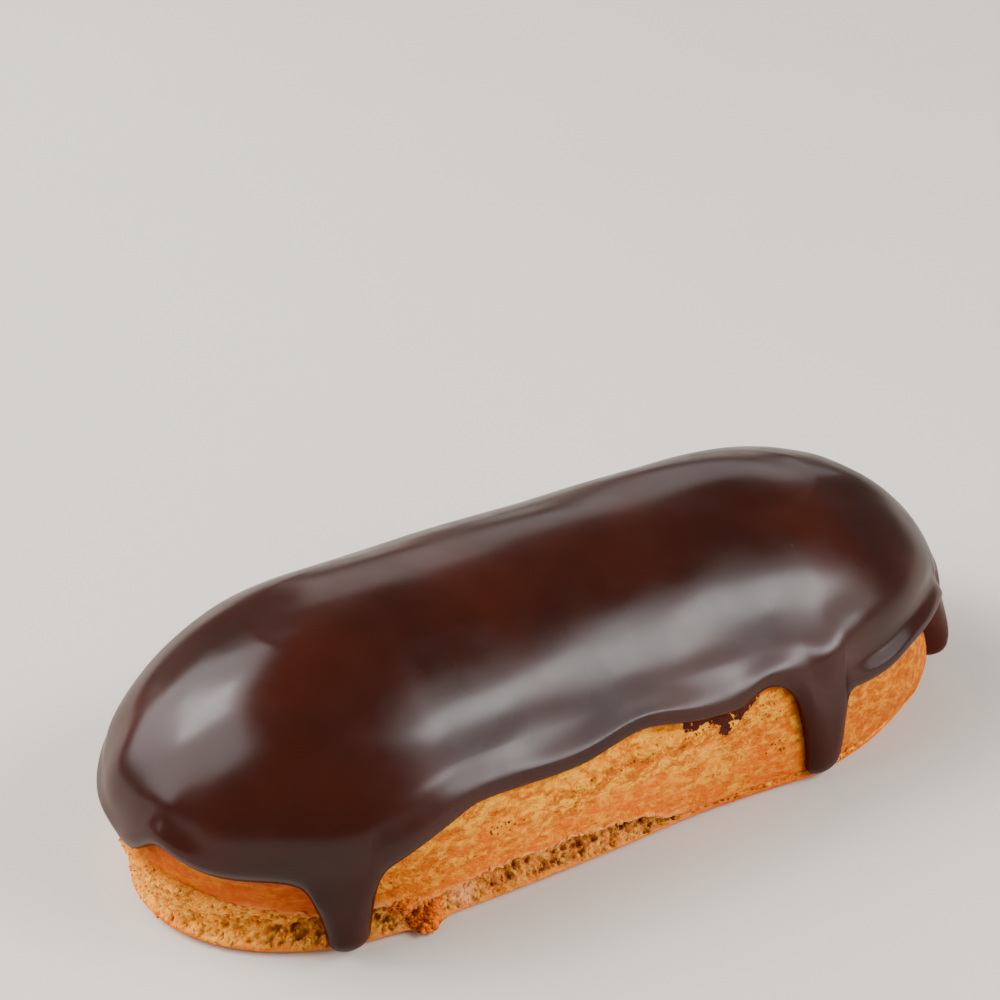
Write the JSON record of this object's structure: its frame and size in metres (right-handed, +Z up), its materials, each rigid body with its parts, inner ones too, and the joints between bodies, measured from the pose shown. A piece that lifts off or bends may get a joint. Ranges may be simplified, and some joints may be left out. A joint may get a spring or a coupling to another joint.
{
  "type": "chocolate eclair",
  "caption": "Long choux bun, burst open low along one side and at its ends, under a thick poured chocolate glaze with drips.",
  "frame": {"origin": "middle of the base of the box round the eclair, on the surface it rests on", "axes": "+X along the bun from its taller end to its lower end, +Z up, -Y towards the side that is burst open along the base"},
  "size_m": [0.1402, 0.0592, 0.0404],
  "materials": {
    "choux_crust": "matte baked choux crust, golden brown with a paler crumb",
    "chocolate_glaze": "glossy poured dark chocolate glaze"
  },
  "bodies": {
    "root": {"choux_bun": "choux_crust", "chocolate_glaze": "chocolate_glaze"}
  },
  "joints": []
}
